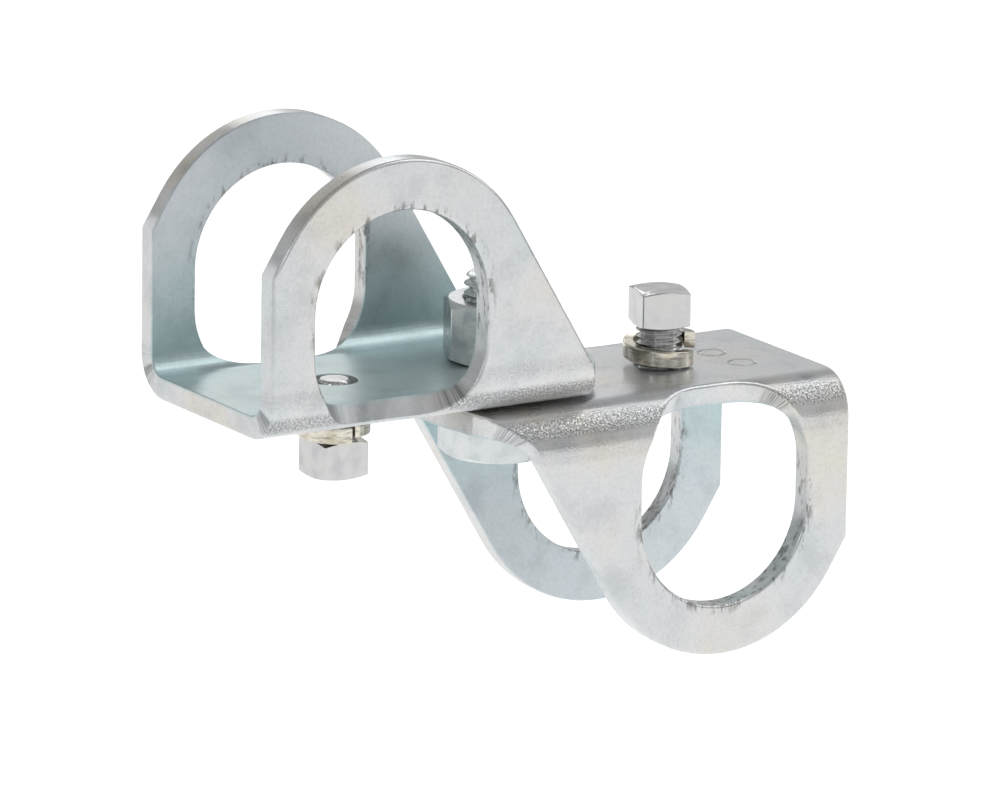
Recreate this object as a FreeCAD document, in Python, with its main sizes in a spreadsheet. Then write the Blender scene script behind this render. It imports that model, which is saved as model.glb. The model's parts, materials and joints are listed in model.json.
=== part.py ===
import FreeCAD, Part
import Sketcher
import math
import os

# Swivel coupler for scaffold tube. Two pressed plate brackets are joined web to web by one
# pivot bolt. Each has two ears with a tube window, and a square-headed screw through its web
# that pushes the tube against the crown of the windows.
#
# Bracket frame: the pivot axis is Z, the outer face of the web is at z = 0, the ears stand up
# along +Z and the arm runs out along +X. Both brackets are the same pressing, but the upper
# one's web is rounded off further behind the pivot.
# Row frame: the origin is the centre of the lower bracket's tube seat, the tube lies along Y,
# and the pivot axis is vertical, at x = -seatOffset.

vec = FreeCAD.Vector
doc = FreeCAD.newDocument("swivel_coupler")

# ---------------------------------------------------------------- driving sizes, mm and degrees
sheet = doc.addObject("Spreadsheet::Sheet", "sizes")
values = [
    ("plate", 6.0),             # thickness of the pressed steel
    ("armWidth", 66.0),         # over the outside of the ears
    ("bendInner", 5.0),         # inside radius of the two bends
    ("armReach", 86.0),         # pivot axis to the far end
    ("webTail", 23.7),          # pivot axis to the web's rounded end
    ("tailRise", 2.4),          # how far that end bows out on the lower bracket
    ("upperTailRise", 9.5),     # and on the upper one
    ("seatOffset", 48.5),       # pivot axis to tube axis
    ("seatHeight", 31.4),       # web's outer face to the centre of the seat
    ("seatRadius", 25.0),       # takes a 48.3 mm tube
    ("crownRadius", 38.0),      # outside of the ear, round the seat
    ("farCorner", 43.0),        # height of the corner at the far end
    ("earSlope", 59.2),         # slope of the ear's pivot side
    ("windowCorner", 21.0),     # rounding of the window at its web side
    ("windowInset", 2.0),       # flat plate left in the bend under the window
    ("swivelGap", 1.2),         # between the two webs: the end play of the swivel
    ("nutGap", 0.15),           # under the nut
    ("pivotDia", 18.0),
    ("pivotClear", 0.06),       # radial, shank in web
    ("pivotLength", 35.8),      # under the head
    ("hexAcross", 26.5),
    ("hexHeadHigh", 11.5),
    ("nutHigh", 15.8),
    ("headTurn", 28.0),         # how the bolt head happens to stand
    ("nutTurn", 6.0),
    ("screwDia", 12.0),
    ("screwClear", 0.05),       # radial, screw in web
    ("screwLength", 15.3),      # under the head: backed off, its point clears the seat
    ("pointDia", 8.5),          # dog point
    ("pointLong", 2.0),
    ("squareAcross", 13.0),
    ("squareHigh", 9.8),
    ("ringClear", 0.5),         # lock washer round the screw, radial
    ("ringWide", 2.8),
    ("ringThick", 4.2),
    ("lowerRingRise", 4.2),     # one end stands above the other by this
    ("upperRingRise", 1.5),
    ("lowerRingSplit", 14.0),   # degrees left open at the split
    ("upperRingSplit", 5.0),
    ("ringPlay", 0.2),          # washer to what it lies on
    ("lowerStandoff", 10.3),    # head above web, backed off
    ("upperStandoff", 9.0),
    ("lowerScrewTurn", -15.0),
    ("upperScrewTurn", -1.0),
    ("lowerRingTurn", -49.0),
    ("upperRingTurn", -90.0),
]
for row, (alias, number) in enumerate(values, start=1):
    sheet.set("A%d" % row, alias)
    sheet.set("B%d" % row, str(number))
    sheet.setAlias("B%d" % row, alias)
doc.recompute()


def size(alias):
    return float(getattr(sheet, alias))


def bind(obj, **expressions):
    for prop, text in expressions.items():
        obj.setExpression(prop, text)


HEX_CHAMFER = (30.0, 0.97)      # degrees, and the flat on top as a share of the width over flats
SQUARE_CHAMFER = (14.0, 0.93)
END_CHAMFER = 1 / 12            # on a shank's end, as a share of its diameter
BEND_STEPS = 12                 # sections that an outline wrapped round a bend is lofted through
OVER = 4.0                      # how far a cutter runs past what it cuts
SPARE = 1.0                     # the same, into the thin space inside and outside a bend

halfWidth = size("armWidth") / 2
bendOuter = size("bendInner") + size("plate")
bendStart = halfWidth - bendOuter                       # where the web stops being flat
foldRadius = size("bendInner") + size("plate") / 2      # neutral line of the bend
windowFoot = bendStart + size("windowInset")            # window's web side, on the flat blank
earTop = size("seatHeight") + size("crownRadius")
turnHeight = bendOuter + windowFoot + size("windowCorner") - bendStart - foldRadius * math.pi / 2


# ---------------------------------------------------------------- sketch helpers
def sketchOn(body, role, name):
    plane = next(f for f in body.Origin.OriginFeatures if f.Role == role)
    sketch = body.newObject("Sketcher::SketchObject", name)
    sketch.AttachmentSupport = [(plane, "")]
    sketch.MapMode = "FlatFace"
    return sketch


def join(sketch, pairs):
    for a, enda, b, endb, kind in pairs:
        sketch.addConstraint(Sketcher.Constraint(kind, a, enda, b, endb))


def dimension(sketch, kind, where, number, name, expression):
    index = sketch.addConstraint(Sketcher.Constraint(kind, *where, number))
    sketch.renameConstraint(index, name)
    sketch.setExpression("Constraints." + name, expression)


def straightEdges(shape, points):
    names = []
    for index, edge in enumerate(shape.Edges, start=1):
        middle = edge.valueAt((edge.FirstParameter + edge.LastParameter) / 2)
        if edge.Curve.TypeId == "Part::GeomLine":
            if any(math.hypot(middle.y - y, middle.z - z) < 0.01 for y, z in points):
                names.append("Edge%d" % index)
    return names


def rectangle(sketch, corners):
    for start, end in zip(corners, corners[1:]):
        sketch.addGeometry(Part.LineSegment(start, end))
    join(sketch, [(0, 2, 1, 1, "Coincident"), (1, 2, 2, 1, "Coincident"),
                  (2, 2, 3, 1, "Coincident"), (3, 2, 0, 1, "Coincident")])
    for line, kind in ((0, "Horizontal"), (1, "Vertical"), (2, "Horizontal"), (3, "Vertical")):
        sketch.addConstraint(Sketcher.Constraint(kind, line))


# ---------------------------------------------------------------- bracket
def blockProfile(body):
    # side view of the channel before its ears are cut to shape
    sketch = sketchOn(body, "XZ_Plane", body.Label + "_side")
    reach, tail, top = size("armReach"), size("webTail"), earTop + OVER / 2
    corners = [vec(-tail, 0, 0), vec(reach, 0, 0), vec(reach, top, 0), vec(-tail, top, 0),
               vec(-tail, 0, 0)]
    rectangle(sketch, corners)
    dimension(sketch, "DistanceX", (0, 1, -1, 1), tail, "tail", "sizes.webTail")
    dimension(sketch, "DistanceX", (-1, 1, 0, 2), reach, "reach", "sizes.armReach")
    dimension(sketch, "DistanceY", (-1, 1, 2, 1), top, "top",
              "sizes.seatHeight + sizes.crownRadius + %g" % (OVER / 2))
    dimension(sketch, "DistanceY", (0, 1, -1, 1), 0, "web", "0")
    return sketch


def earWaste(body):
    # what is sheared off round both ears: over the crown, down the slope and past the far corner
    reach, tail, top = size("armReach"), size("webTail"), earTop + OVER
    seatX, seatZ, crown = size("seatOffset"), size("seatHeight"), size("crownRadius")
    slope = math.radians(size("earSlope"))
    corner = vec(reach, size("farCorner"), 0)
    centre = vec(seatX, seatZ, 0)
    toCorner = math.atan2(corner.y - seatZ, corner.x - seatX)
    farAngle = toCorner + math.acos(crown / corner.distanceToPoint(centre))
    nearAngle = slope + math.pi / 2
    far = centre + vec(crown * math.cos(farAngle), crown * math.sin(farAngle), 0)
    near = centre + vec(crown * math.cos(nearAngle), crown * math.sin(nearAngle), 0)
    foot = vec(near.x - (near.y - bendOuter) / math.tan(slope), bendOuter, 0)
    start = vec(-tail - OVER, bendOuter, 0)
    sketch = sketchOn(body, "XZ_Plane", body.Label + "_waste")
    sketch.addGeometry(Part.LineSegment(start, foot))
    sketch.addGeometry(Part.LineSegment(foot, near))
    sketch.addGeometry(Part.ArcOfCircle(Part.Circle(centre, vec(0, 0, 1), crown), farAngle, nearAngle))
    rest = [far, corner, vec(reach + OVER, corner.y, 0), vec(reach + OVER, top, 0),
            vec(-tail - OVER, top, 0), start]
    for begin, end in zip(rest, rest[1:]):
        sketch.addGeometry(Part.LineSegment(begin, end))
    join(sketch, [(0, 2, 1, 1, "Coincident"), (1, 2, 2, 2, "Tangent"), (2, 1, 3, 1, "Tangent"),
                  (3, 2, 4, 1, "Coincident"), (4, 2, 5, 1, "Coincident"), (5, 2, 6, 1, "Coincident"),
                  (6, 2, 7, 1, "Coincident"), (7, 2, 0, 1, "Coincident")])
    for line, kind in ((0, "Horizontal"), (4, "Horizontal"), (5, "Vertical"), (6, "Horizontal"),
                       (7, "Vertical")):
        sketch.addConstraint(Sketcher.Constraint(kind, line))
    dimension(sketch, "DistanceX", (-1, 1, 3, 2), reach, "reach", "sizes.armReach")
    dimension(sketch, "DistanceY", (-1, 1, 3, 2), corner.y, "corner", "sizes.farCorner")
    dimension(sketch, "DistanceX", (-1, 1, 2, 3), seatX, "seatX", "sizes.seatOffset")
    dimension(sketch, "DistanceY", (-1, 1, 2, 3), seatZ, "seatZ", "sizes.seatHeight")
    dimension(sketch, "Radius", (2,), crown, "crown", "sizes.crownRadius")
    dimension(sketch, "DistanceY", (-1, 1, 0, 1), bendOuter, "bend", "sizes.bendInner + sizes.plate")
    dimension(sketch, "Angle", (1,), slope, "slope", "sizes.earSlope * 1 deg")
    dimension(sketch, "DistanceX", (-1, 1, 4, 2), reach + OVER, "past", "sizes.armReach + %g" % OVER)
    dimension(sketch, "DistanceX", (0, 1, -1, 1), tail + OVER, "behind", "sizes.webTail + %g" % OVER)
    dimension(sketch, "DistanceY", (-1, 1, 6, 1), top, "over",
              "sizes.seatHeight + sizes.crownRadius + %g" % OVER)
    return sketch


def windowProfile(body):
    seatX, seatZ, seat = size("seatOffset"), size("seatHeight"), size("seatRadius")
    corner = size("windowCorner")
    foot = math.acos((turnHeight - bendOuter) / corner)     # where the corner meets the bend
    sketch = sketchOn(body, "XZ_Plane", body.Label + "_window")
    top = Part.Circle(vec(seatX, seatZ, 0), vec(0, 0, 1), seat)
    left = Part.Circle(vec(seatX - seat + corner, turnHeight, 0), vec(0, 0, 1), corner)
    right = Part.Circle(vec(seatX + seat - corner, turnHeight, 0), vec(0, 0, 1), corner)
    down = -math.pi / 2
    footLeft = left.Center + vec(-corner * math.sin(foot), -corner * math.cos(foot), 0)
    footRight = right.Center + vec(corner * math.sin(foot), -corner * math.cos(foot), 0)
    sketch.addGeometry(Part.ArcOfCircle(top, 0, math.pi))
    sketch.addGeometry(Part.LineSegment(vec(seatX - seat, seatZ, 0), vec(seatX - seat, turnHeight, 0)))
    sketch.addGeometry(Part.ArcOfCircle(left, math.pi, math.pi - down - foot))
    sketch.addGeometry(Part.LineSegment(footLeft, footRight))
    sketch.addGeometry(Part.ArcOfCircle(right, down + foot, 0))
    sketch.addGeometry(Part.LineSegment(vec(seatX + seat, turnHeight, 0), vec(seatX + seat, seatZ, 0)))
    join(sketch, [(0, 2, 1, 1, "Tangent"), (1, 2, 2, 1, "Tangent"), (2, 2, 3, 1, "Coincident"),
                  (3, 2, 4, 1, "Coincident"), (4, 2, 5, 1, "Tangent"), (5, 2, 0, 1, "Tangent")])
    sketch.addConstraint(Sketcher.Constraint("Vertical", 1))
    sketch.addConstraint(Sketcher.Constraint("Vertical", 5))
    sketch.addConstraint(Sketcher.Constraint("Horizontal", 3))
    sketch.addConstraint(Sketcher.Constraint("Equal", 2, 4))
    dimension(sketch, "DistanceX", (-1, 1, 0, 3), seatX, "seatX", "sizes.seatOffset")
    dimension(sketch, "DistanceY", (-1, 1, 0, 3), seatZ, "seatZ", "sizes.seatHeight")
    dimension(sketch, "Radius", (0,), seat, "seat", "sizes.seatRadius")
    dimension(sketch, "Radius", (2,), corner, "corner", "sizes.windowCorner")
    dimension(sketch, "DistanceY", (-1, 1, 3, 1), bendOuter, "foot", "sizes.bendInner + sizes.plate")
    bend = "(sizes.bendInner + sizes.plate / 2) * %.9f" % (math.pi / 2)
    dimension(sketch, "DistanceY", (-1, 1, 2, 3), turnHeight, "turn", "sizes.bendInner + sizes.plate"
              " + sizes.windowInset + sizes.windowCorner - " + bend)
    return sketch


def bowRadius(rise):
    return (bendStart ** 2 + rise ** 2) / (2 * rise)


def tailProfile(body, riseName):
    # everything past the bowed end of the web, on both sides of the arm
    tail, rise = size("webTail"), size(riseName)
    far, wide = tail + OVER, halfWidth + OVER
    bow = bowRadius(rise)
    spread = math.asin(bendStart / bow)
    circle = Part.Circle(vec(bow - tail, 0, 0), vec(0, 0, 1), bow)
    sketch = sketchOn(body, "XY_Plane", body.Label + "_tail")
    sketch.addGeometry(Part.ArcOfCircle(circle, math.pi - spread, math.pi + spread))
    side = rise - tail
    outline = [vec(side, -bendStart, 0), vec(side, -wide, 0), vec(-far, -wide, 0),
               vec(-far, wide, 0), vec(side, wide, 0), vec(side, bendStart, 0)]
    for start, end in zip(outline, outline[1:]):
        sketch.addGeometry(Part.LineSegment(start, end))
    join(sketch, [(0, 2, 1, 1, "Coincident"), (1, 2, 2, 1, "Coincident"), (2, 2, 3, 1, "Coincident"),
                  (3, 2, 4, 1, "Coincident"), (4, 2, 5, 1, "Coincident"), (5, 2, 0, 1, "Coincident")])
    for line in (1, 3, 5):
        sketch.addConstraint(Sketcher.Constraint("Vertical", line))
    for line in (2, 4):
        sketch.addConstraint(Sketcher.Constraint("Horizontal", line))
    dimension(sketch, "DistanceX", (1, 1, -1, 1), -side, "side",
              "sizes.webTail - sizes." + riseName)
    dimension(sketch, "DistanceX", (0, 2, 0, 1), 0, "level", "0")
    return sketch


def bendStation(along, blank):
    # outline of the cutter in the plane x = along: it takes the bend away beyond the place
    # that lies at distance blank from the middle of the flat blank
    angle = (blank - bendStart) / foldRadius
    inner, outer = size("bendInner") - SPARE, bendOuter + SPARE
    reach, top = halfWidth + 1.5 * SPARE, bendOuter + OVER
    points = [(bendStart + inner * math.sin(angle), bendOuter - inner * math.cos(angle)),
              (bendStart + outer * math.sin(angle), bendOuter - outer * math.cos(angle)),
              (reach, -1.5 * SPARE), (reach, top), (bendStart + inner, top)]
    return Part.makePolygon([vec(along, y, z) for y, z in points + points[:1]])


def bendCutter(name, stations):
    cutter = doc.addObject("Part::Feature", name)
    loft = Part.makeLoft([bendStation(*station) for station in stations], True, False)
    cutter.Shape = Part.makeCompound([loft, loft.mirror(vec(0, 0, 0), vec(0, 1, 0))])
    return cutter


def windowStations():
    # the window's rounded web side, wrapped round the bend
    corner = size("windowCorner")
    flat = size("seatRadius") - corner
    widest = math.sqrt(corner ** 2 - (turnHeight - bendOuter) ** 2) + flat
    stations = []
    for step in range(-BEND_STEPS, BEND_STEPS + 1):
        along = widest * step / BEND_STEPS
        drop = corner - math.sqrt(corner ** 2 - max(0, abs(along) - flat) ** 2)
        stations.append((size("seatOffset") + along, windowFoot + drop))
    return stations


def tailStations(riseName):
    # the web's end swings out to the ear's slope through the bend
    slope = 1 / math.tan(math.radians(size("earSlope")))
    rise = size(riseName)
    start = rise - size("webTail")
    lean = bendStart / (bowRadius(rise) - rise)             # of the bowed end, where the bend starts
    seatX, seatZ, crown = size("seatOffset"), size("seatHeight"), size("crownRadius")
    tilt = math.radians(size("earSlope"))
    touchX, touchZ = seatX - crown * math.sin(tilt), seatZ + crown * math.cos(tilt)
    end = touchX - (touchZ - bendOuter) * slope
    length = foldRadius * math.pi / 2
    stations = []
    for step in range(BEND_STEPS + 1):
        part = step / BEND_STEPS
        along = (start * (2 * part ** 3 - 3 * part ** 2 + 1) + end * (3 * part ** 2 - 2 * part ** 3)
                 + lean * length * (part ** 3 - 2 * part ** 2 + part)
                 + slope * length * (part ** 3 - part ** 2))
        stations.append((along, bendStart + length * part))
    return stations


def makeBracket(name, riseName, placement):
    body = doc.addObject("PartDesign::Body", name + "_plate")
    block = body.newObject("PartDesign::Pad", name + "_block")
    block.Profile = blockProfile(body)
    block.Midplane = True
    bind(block, Length="sizes.armWidth")
    doc.recompute()
    outer = body.newObject("PartDesign::Fillet", name + "_outer_bend")
    outer.Base = (block, straightEdges(block.Shape, [(halfWidth, 0), (-halfWidth, 0)]))
    bind(outer, Radius="sizes.bendInner + sizes.plate")
    doc.recompute()
    inside = sketchOn(body, "YZ_Plane", name + "_inside")
    wall, top = halfWidth - size("plate"), earTop + OVER
    corners = [vec(-wall, size("plate"), 0), vec(wall, size("plate"), 0), vec(wall, top, 0),
               vec(-wall, top, 0), vec(-wall, size("plate"), 0)]
    rectangle(inside, corners)
    dimension(inside, "DistanceX", (-1, 1, 0, 2), wall, "right", "sizes.armWidth / 2 - sizes.plate")
    dimension(inside, "DistanceX", (0, 1, -1, 1), wall, "left", "sizes.armWidth / 2 - sizes.plate")
    dimension(inside, "DistanceY", (-1, 1, 0, 1), size("plate"), "web", "sizes.plate")
    dimension(inside, "DistanceY", (-1, 1, 2, 1), top, "top",
              "sizes.seatHeight + sizes.crownRadius + %g" % OVER)
    hollow = body.newObject("PartDesign::Pocket", name + "_hollow")
    hollow.Profile = inside
    hollow.Type = "ThroughAll"
    hollow.Midplane = True
    doc.recompute()
    inner = body.newObject("PartDesign::Fillet", name + "_inner_bend")
    inner.Base = (hollow, straightEdges(hollow.Shape, [(wall, size("plate")), (-wall, size("plate"))]))
    bind(inner, Radius="sizes.bendInner")
    doc.recompute()
    for label, profile in (("ear_cut", earWaste(body)), ("window_cut", windowProfile(body)),
                           ("tail_cut", tailProfile(body, riseName))):
        cut = body.newObject("PartDesign::Pocket", name + "_" + label)
        cut.Profile = profile
        cut.Type = "ThroughAll"
        cut.Midplane = True
        doc.recompute()
    bores = sketchOn(body, "XY_Plane", name + "_bores")
    bores.addGeometry(Part.Circle(vec(0, 0, 0), vec(0, 0, 1), size("pivotDia") / 2))
    bores.addGeometry(Part.Circle(vec(size("seatOffset"), 0, 0), vec(0, 0, 1), size("screwDia") / 2))
    bores.addConstraint(Sketcher.Constraint("Coincident", 0, 3, -1, 1))
    bores.addConstraint(Sketcher.Constraint("PointOnObject", 1, 3, -1))
    dimension(bores, "Radius", (0,), size("pivotDia") / 2, "pivot", "sizes.pivotDia / 2 + sizes.pivotClear")
    dimension(bores, "Radius", (1,), size("screwDia") / 2, "screw", "sizes.screwDia / 2 + sizes.screwClear")
    dimension(bores, "DistanceX", (-1, 1, 1, 3), size("seatOffset"), "seat", "sizes.seatOffset")
    drill = body.newObject("PartDesign::Pocket", name + "_drill")
    drill.Profile = bores
    drill.Type = "ThroughAll"
    drill.Midplane = True
    body.Tip = drill
    doc.recompute()
    cutters = doc.addObject("Part::MultiFuse", name + "_bend_cutters")
    cutters.Shapes = [bendCutter(name + "_window_bend", windowStations()),
                      bendCutter(name + "_tail_bend", tailStations(riseName))]
    bracket = doc.addObject("Part::Cut", name)
    bracket.Base = body
    bracket.Tool = cutters
    bracket.Label = name
    bracket.Placement = placement
    doc.recompute()
    return bracket


# ---------------------------------------------------------------- bolts, nut and screws
def chamferTool(name, across, height, bottom, chamfer):
    # what a corner is turned down to: a cone on the top end, and on the bottom end as well
    # when bottom is true
    angle, share = chamfer
    rim = across / 2 * share
    run = across
    lift = (run - rim) * math.tan(math.radians(angle))
    points = [vec(0, 0, height), vec(rim, 0, height), vec(run, 0, height - lift)]
    points += [vec(run, 0, lift), vec(rim, 0, 0)] if bottom else [vec(run, 0, 0)]
    points += [vec(0, 0, 0), vec(0, 0, height)]
    tool = doc.addObject("Part::Feature", name)
    tool.Shape = Part.Face(Part.makePolygon(points)).revolve(vec(0, 0, 0), vec(0, 0, 1), 360)
    return tool


def primitive(kind, name, **expressions):
    obj = doc.addObject(kind, name)
    bind(obj, **expressions)
    return obj


def common(name, *shapes):
    obj = doc.addObject("Part::MultiCommon", name)
    obj.Shapes = list(shapes)
    return obj


def hexBlank(name, high, turn, bottom):
    prism = primitive("Part::Prism", name + "_hex", Circumradius="sizes.hexAcross / sqrt(3)",
                      Height="sizes." + high)
    prism.Polygon = 6
    prism.Placement.Rotation = FreeCAD.Rotation(vec(0, 0, 1), size(turn))
    return common(name + "_blank", prism,
                  chamferTool(name + "_cone", size("hexAcross"), size(high), bottom, HEX_CHAMFER))


def makePivotBolt(name, placement):
    # head from z = 0 up, shank down from z = 0
    head = hexBlank(name, "hexHeadHigh", "headTurn", False)
    shank = primitive("Part::Cylinder", name + "_shank", Radius="sizes.pivotDia / 2",
                      Height="sizes.pivotLength + %g" % SPARE)
    shank.Placement.Base = vec(0, 0, -size("pivotLength"))
    bolt = doc.addObject("Part::Fuse", name + "_rough")
    bolt.Base, bolt.Tool = head, shank
    doc.recompute()
    return endChamfer(name, bolt, "pivotDia", -size("pivotLength"), placement)


def endChamfer(name, rough, diameter, low, placement):
    edges = [index for index, edge in enumerate(rough.Shape.Edges, start=1)
             if edge.Curve.TypeId == "Part::GeomCircle"
             and abs(edge.Curve.Center.z - low) < 0.01]
    depth = size(diameter) * END_CHAMFER
    done = doc.addObject("Part::Chamfer", name)
    done.Base = rough
    done.Edges = [(index, depth, depth) for index in edges]
    done.Label = name
    done.Placement = placement
    doc.recompute()
    return done


def makePivotNut(name, placement):
    blank = hexBlank(name, "nutHigh", "nutTurn", True)
    bore = primitive("Part::Cylinder", name + "_bore",
                     Radius="sizes.pivotDia / 2 + sizes.screwClear",
                     Height="sizes.nutHigh + %g" % (2 * SPARE))
    bore.Placement.Base = vec(0, 0, -SPARE)
    nut = doc.addObject("Part::Cut", name)
    nut.Base, nut.Tool = blank, bore
    nut.Label = name
    nut.Placement = placement
    doc.recompute()
    return nut


def makeSetScrew(name, turn, placement):
    # square head from z = 0 up, thread and dog point down from z = 0
    block = primitive("Part::Box", name + "_square", Length="sizes.squareAcross",
                      Width="sizes.squareAcross", Height="sizes.squareHigh")
    half = size("squareAcross") / 2
    turned = FreeCAD.Rotation(vec(0, 0, 1), size(turn))
    block.Placement = FreeCAD.Placement(turned.multVec(vec(-half, -half, 0)), turned)
    head = common(name + "_head", block,
                  chamferTool(name + "_cone", size("squareAcross"), size("squareHigh"), True,
                              SQUARE_CHAMFER))
    thread = primitive("Part::Cylinder", name + "_thread", Radius="sizes.screwDia / 2",
                       Height="sizes.screwLength - sizes.pointLong + %g" % SPARE)
    thread.Placement.Base = vec(0, 0, size("pointLong") - size("screwLength"))
    point = primitive("Part::Cylinder", name + "_point", Radius="sizes.pointDia / 2",
                      Height="sizes.pointLong + %g" % SPARE)
    point.Placement.Base = vec(0, 0, -size("screwLength"))
    rough = doc.addObject("Part::MultiFuse", name + "_rough")
    rough.Shapes = [head, thread, point]
    doc.recompute()
    return endChamfer(name, rough, "pointDia", -size("screwLength"), placement)


def makeLockWasher(name, which, placement):
    # a square-section ring, sawn through and wound left-handed, so that it bites a
    # right-handed screw; its low end is at z = 0
    arc = 360 - size(which + "RingSplit")
    inner = size("screwDia") / 2 + size("ringClear")
    outer, thick = inner + size("ringWide"), size("ringThick")
    rise = size(which + "RingRise")
    helix = Part.makeHelix(rise * 360 / arc, rise, (inner + outer) / 2, 0, True)
    corners = [vec(inner, 0, 0), vec(outer, 0, 0), vec(outer, 0, thick), vec(inner, 0, thick)]
    section = Part.makePolygon(corners + corners[:1])
    helix.translate(vec(0, 0, thick / 2))
    ring = doc.addObject("Part::Feature", name)
    pipe = Part.Wire(helix).makePipeShell([section], True, True)
    pipe.rotate(vec(0, 0, 0), vec(0, 0, 1), size(which + "RingTurn"))
    ring.Shape = pipe
    ring.Label = name
    ring.Placement = placement
    return ring


# ---------------------------------------------------------------- assembly
def place(x, z, flipped=False, turned=False):
    rotation = FreeCAD.Rotation()
    if flipped:
        rotation = FreeCAD.Rotation(vec(1, 0, 0), 180)
    elif turned:
        rotation = FreeCAD.Rotation(vec(0, 0, 1), 180)
    return FreeCAD.Placement(vec(x, 0, z), rotation)


pivotX = -size("seatOffset")
webZ = size("seatHeight")                           # lower web's outer face
upperZ = webZ + size("swivelGap")                   # upper web's outer face
upperSeatX = pivotX - size("seatOffset")
nodes = [
    makeBracket("lower_bracket", "tailRise", place(pivotX, webZ, flipped=True)),
    makeBracket("upper_bracket", "upperTailRise", place(pivotX, upperZ, turned=True)),
    makePivotBolt("pivot_bolt", place(pivotX, webZ - size("plate"), flipped=True)),
    makePivotNut("pivot_nut", place(pivotX, upperZ + size("plate") + size("nutGap"))),
    makeSetScrew("lower_set_screw", "lowerScrewTurn", place(0, webZ + size("lowerStandoff"))),
    makeSetScrew("upper_set_screw", "upperScrewTurn",
                 place(upperSeatX, upperZ - size("upperStandoff"), flipped=True)),
    makeLockWasher("lower_lock_washer", "lower", place(0, webZ + size("ringPlay"))),
    makeLockWasher("upper_lock_washer", "upper",
                   place(upperSeatX, upperZ - size("upperStandoff") + size("ringPlay"))),
]
doc.recompute()

for obj in doc.Objects:
    if "Invalid" in obj.State or "Error" in obj.State:
        raise RuntimeError("%s failed: %s" % (obj.Label, obj.State))
os.makedirs("parts", exist_ok=True)
for node in nodes:
    shape = node.Shape
    if shape.isNull() or not shape.isValid() or len(shape.Solids) != 1:
        raise RuntimeError("%s has no single valid solid" % node.Label)
    shape.exportStep("parts/%s.step" % node.Label)
    box = shape.BoundBox
    print("%-18s %9.1f mm3  x %.1f..%.1f  y %.1f..%.1f  z %.1f..%.1f" % (
        node.Label, shape.Volume, box.XMin, box.XMax, box.YMin, box.YMax, box.ZMin, box.ZMax))
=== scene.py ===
import bpy
import bmesh
import json
import math
from mathutils import Matrix, Vector


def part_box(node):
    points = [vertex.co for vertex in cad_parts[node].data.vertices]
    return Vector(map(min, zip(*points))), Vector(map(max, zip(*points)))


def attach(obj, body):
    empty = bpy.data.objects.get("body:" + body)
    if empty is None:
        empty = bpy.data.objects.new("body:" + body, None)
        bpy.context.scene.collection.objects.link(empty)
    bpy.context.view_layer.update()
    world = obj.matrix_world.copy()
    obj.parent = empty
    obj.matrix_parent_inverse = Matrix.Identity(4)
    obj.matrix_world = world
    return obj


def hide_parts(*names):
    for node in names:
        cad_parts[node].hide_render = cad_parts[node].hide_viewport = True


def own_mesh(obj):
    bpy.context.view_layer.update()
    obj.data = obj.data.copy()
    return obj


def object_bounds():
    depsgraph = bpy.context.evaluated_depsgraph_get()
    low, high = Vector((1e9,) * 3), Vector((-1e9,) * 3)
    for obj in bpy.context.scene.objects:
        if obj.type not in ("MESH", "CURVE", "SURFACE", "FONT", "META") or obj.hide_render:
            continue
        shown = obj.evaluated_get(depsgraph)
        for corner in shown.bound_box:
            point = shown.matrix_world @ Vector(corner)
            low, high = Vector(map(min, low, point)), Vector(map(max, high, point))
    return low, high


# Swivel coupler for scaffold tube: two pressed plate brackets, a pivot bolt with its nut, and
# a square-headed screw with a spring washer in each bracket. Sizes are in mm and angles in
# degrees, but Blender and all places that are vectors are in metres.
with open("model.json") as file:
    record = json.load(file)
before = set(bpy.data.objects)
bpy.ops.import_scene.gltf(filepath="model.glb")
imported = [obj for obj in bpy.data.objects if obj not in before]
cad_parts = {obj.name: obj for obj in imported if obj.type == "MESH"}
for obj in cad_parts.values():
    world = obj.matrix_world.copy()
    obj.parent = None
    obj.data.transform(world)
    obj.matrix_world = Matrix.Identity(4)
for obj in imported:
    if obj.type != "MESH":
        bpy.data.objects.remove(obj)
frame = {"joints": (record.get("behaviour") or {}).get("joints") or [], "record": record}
cadLow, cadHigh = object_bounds()
mm = 0.001
hair = 1e-7                                             # points nearer than this are one
seats = {m["name"]: Vector(m["pos_m"]) for m in frame["record"]["mounts"]}
joints = {j["name"]: j for j in frame["joints"]}
pivotPlace = Vector(joints["pivot_swivel"]["pos_m"])
lowerSeat = seats["lower_tube_seat"]
upperSeat = seats["upper_tube_seat"]
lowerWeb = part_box("lower_bracket")[1].z                 # outer faces of the two webs
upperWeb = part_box("upper_bracket")[0].z


# working in Blender
def deselectAll():
    if bpy.context.object and bpy.context.object.mode != "OBJECT":
        bpy.ops.object.mode_set(mode="OBJECT")
    bpy.ops.object.select_all(action="DESELECT")


def workOn(piece, mode="EDIT"):
    deselectAll()
    piece.select_set(True)
    bpy.context.view_layer.objects.active = piece
    bpy.ops.object.mode_set(mode=mode)


def pickEdges(piece, test):
    # in edit mode, selects the edges that the test says yes to
    bpy.ops.mesh.select_mode(type="EDGE")
    bpy.ops.mesh.select_all(action="DESELECT")
    mesh = bmesh.from_edit_mesh(piece.data)
    for edge in mesh.edges:
        if test(edge):
            edge.select_set(True)
    bmesh.update_edit_mesh(piece.data)


def addModifier(piece, kind, **settings):
    workOn(piece, "OBJECT")
    modifier = piece.modifiers.new(kind.title(), kind)
    for key, value in settings.items():
        setattr(modifier, key, value)
    bpy.ops.object.modifier_apply(modifier=modifier.name)


def combine(piece, tool, operation):
    addModifier(piece, "BOOLEAN", operation=operation, solver="EXACT", object=tool)
    bpy.data.objects.remove(tool)


def bakePlace(piece):
    workOn(piece, "OBJECT")
    bpy.ops.object.transform_apply(location=True, rotation=True, scale=True)


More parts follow.
